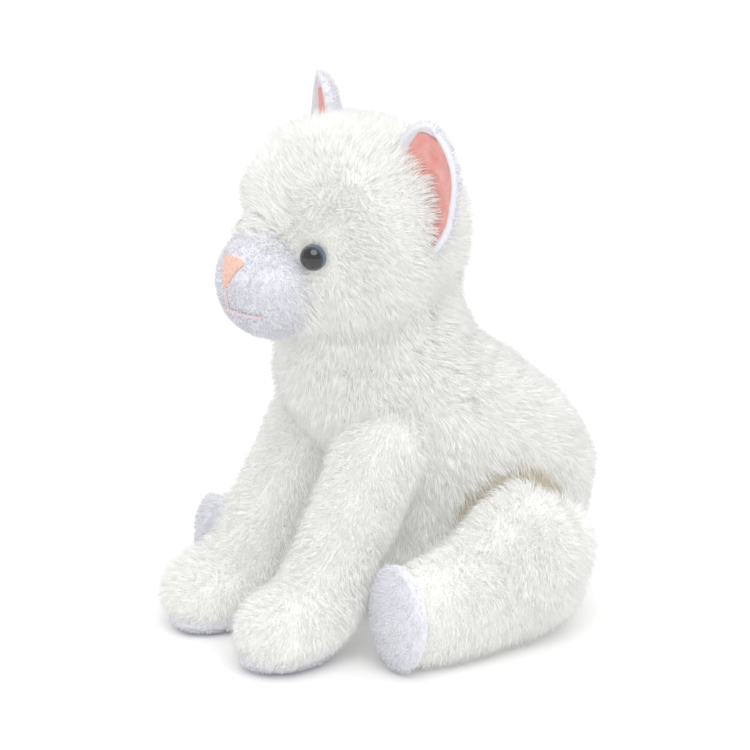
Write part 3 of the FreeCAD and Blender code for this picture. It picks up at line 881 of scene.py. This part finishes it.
turn = np.radians(np.linspace(*TAIL_TURN, TAIL_KNOTS))
tail_line = TAIL_CENTRE + TAIL_ARC * np.stack([-np.sin(turn), np.cos(turn), 0 * turn], -1)
thick = np.linspace(*TAIL_THICK, TAIL_KNOTS)
tail_rings = limb_rings(np.column_stack([tail_line, thick, thick]), 50, reference=(0.0, 0.0, 1.0))
tail_skin = skin_object("tail_skin", tail_rings, backing)
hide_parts("tail_cover", "tail_stuffing")
points, normals = scatter(tail_rings, LONG_DENSITY, 121)
along = np.cross([0.0, 0.0, 1.0], points - TAIL_CENTRE)
pile = grow("tail_pile", points, normals, unit(along) * 1.2, TAIL_PILE, pile_white, 122)
for piece in (tail_skin, pile):
    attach(piece, "tail")

# %% [markdown]
# ## Ears
# Each ear is a cupped leaf of short plush with a satin lining set back from its edge. Both
# are the same thin shell: its rings go out along the back and come home along the front.

# %% Ears
EAR_MIDDLE = np.array([42.0, -12.5, 210.0])
EAR_SEMI = np.array([18.0, 11.5, 37.5])
EAR_LEAN, EAR_TURN = math.radians(15.0), math.radians(20.0)
EAR_WALL, LINING_WALL, LINING_SETBACK = 2.6, 0.9, 2.4
EAR_POINTS = 48          # across the back, and again across the front
EAR_RISES = -4.0, 3.5    # the right ear stands higher


def ear_rings(inset, thickness, edge, low, high, rise, count=44):
    """Rings of a cupped leaf, one at each height, out along the back and home along the front.

    At height s the half width is a (1 - |s|^2.8)^0.75 and the cup's depth b sqrt(1 - v^2), for
    v across the leaf from -edge to edge.
    """
    height = np.linspace(low, high, count)[:, None]
    across = np.linspace(-edge, edge, EAR_POINTS)
    across = np.concatenate([across, np.linspace(edge, -edge, EAR_POINTS)])[None]
    layer = np.repeat([inset, inset + thickness], EAR_POINTS)[None]
    taper = (1 - np.abs(height) ** 2.8) ** 0.75
    half = (EAR_SEMI[0] + 1.5 * height) * taper
    x = np.maximum(half - layer, 0.4) * across
    y = np.maximum(EAR_SEMI[1] * taper ** 0.7 - layer, 0.2) * np.sqrt(1 - across ** 2 * 0.98)
    x = x - 6.0 * np.maximum(height + 0.2, 0.0)
    z = (EAR_SEMI[2] - layer * 0.6) * height * np.ones_like(across) + rise * height
    c, s = math.cos(EAR_LEAN), math.sin(EAR_LEAN)
    x, z = x * c + z * s, z * c - x * s
    c, s = math.cos(EAR_TURN), math.sin(EAR_TURN)
    x, y = x * c - y * s, x * s + y * c
    return np.stack([x, y, z], -1) + EAR_MIDDLE


for side, place, rise in (("left", np.asarray, EAR_RISES[0]), ("right", mirrored, EAR_RISES[1])):
    body = "ear_" + side
    shape = rolled(place(ear_rings(0.0, EAR_WALL, 1.0, -0.9, 0.985, rise)))
    back = skin_object("ear_back_skin_" + side, shape, short_backing)
    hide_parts("ear_back_" + side)
    points, normals = scatter(shape, 1.8, 131)
    opening = place(np.array([math.sin(EAR_TURN), -math.cos(EAR_TURN), 0.0]))
    keep = ~in_ball(points, skull, SKULL_R - PILE_REACH) & (normals @ opening < 0.1)
    pile = grow("ear_back_pile_" + side, points[keep], normals[keep], np.array([0.0, 0.2, 0.6]), 2.4,
                pile_short, 132, width=SHORT_BUNDLE, lean=0.7, tuft=SHORT_TUFT)
    shape = rolled(place(ear_rings(LINING_SETBACK, LINING_WALL, 0.84, -0.88, 0.85, rise)))
    lining = skin_object("ear_lining_satin_" + side, shape, satin)
    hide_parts("ear_lining_" + side)
    for piece, slot in ((back, "short_plush"), (pile, "short_plush"), (lining, "pink_satin")):
        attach(piece, body)

# %% [markdown]
# ## Eyes, nose and mouth
# These stay as the CAD made them. The eye is a domed button of moulded acrylic with a hard
# clear top: black at the middle of its dome and dark grey-blue round the rim, so its colour
# follows the height along the way the eye looks. The stem and washer behind it are plain
# moulded plastic.

# %% Finishes of the CAD nodes
EYE_DEPTH, EYE_SPAN = 3.0, 6.0               # mm: where the colour starts, and over how far
RIM_STOP, PUPIL_STOP = 0.55, 0.80


def finish_node(node, material):
    """Give a CAD node's object a material."""
    obj = frame["nodes"][node]
    obj.data.materials.clear()
    obj.data.materials.append(material)


def colour_along(tree, shader, start, way):
    """Colour by ramp at ((p - start) . way) / EYE_SPAN, in the piece's own metres."""
    place = add_node(tree, "ShaderNodeTexCoord")
    offset = add_node(tree, "ShaderNodeVectorMath", [(0, place.outputs["Object"])], operation="SUBTRACT")
    offset.inputs[1].default_value = start
    height = add_node(tree, "ShaderNodeVectorMath", [(0, offset.outputs[0])], operation="DOT_PRODUCT")
    height.inputs[1].default_value = way
    share = add_node(tree, "ShaderNodeMath", [(0, height.outputs["Value"])], operation="MULTIPLY")
    share.inputs[1].default_value = 1.0 / (EYE_SPAN * MM)
    ramp = add_node(tree, "ShaderNodeValToRGB", [("Fac", share.outputs[0])])
    rim, pupil = ramp.color_ramp.elements
    rim.position, rim.color = RIM_STOP, linear("#55677A")
    pupil.position, pupil.color = PUPIL_STOP, linear("#07080A")
    tree.links.new(ramp.outputs["Color"], shader.inputs["Base Color"])


for side, eye in (("left", eye_left), ("right", eye_right)):
    gloss, tree, shader = new_material("eye_plastic_" + side, "#1B2026", 0.06,
                                       Coat_Weight=1.0, Coat_Roughness=0.02)
    out = unit(eye - skull)
    colour_along(tree, shader, (eye - out * EYE_DEPTH) * MM, out)
    finish_node("eye_dome_" + side, gloss)
    black, tree, shader = new_material("eye_stem_plastic_" + side, "#0B0B0D", 0.3)
    two_tone(tree, shader, 2.0, "#08080A", "#121216")
    finish_node("eye_stem_" + side, black)
    washer, tree, shader = new_material("washer_plastic_" + side, "#DADADA", 0.5)
    two_tone(tree, shader, 2.0, "#D0D0D0", "#E2E2E2")
    finish_node("eye_washer_" + side, washer)
finish_node("nose_patch", nose_satin)
finish_node("mouth_stitch", thread)
print("finished", sorted(node for node in frame["nodes"] if node.startswith(("eye", "nose", "mouth"))))

# %% [markdown]
# ## Floor
# A plain flat sheet of white paper, wide enough to reach past the picture on every side.
# It lies a fifth of a millimetre below the cat, so the two never share a surface.

# %% Floor
FLOOR_HALF, FLOOR_DROP = 6000.0, 0.2
sheet_white, tree, shader = new_material("studio_paper", "#FFFFFF", 0.9)
two_tone(tree, shader, 60.0, "#FDFDFD", "#FFFFFF")
corners = FLOOR_HALF * np.array([(-1, -1, 0), (1, -1, 0), (1, 1, 0), (-1, 1, 0)])
floor = object_from_arrays("floor", corners, np.array([(0, 1, 2), (0, 2, 3)]), sheet_white)
floor.data.transform(Matrix.Translation((0.0, 0.0, -FLOOR_DROP * MM)))
print("floor", 2 * FLOOR_HALF * MM, "m wide")
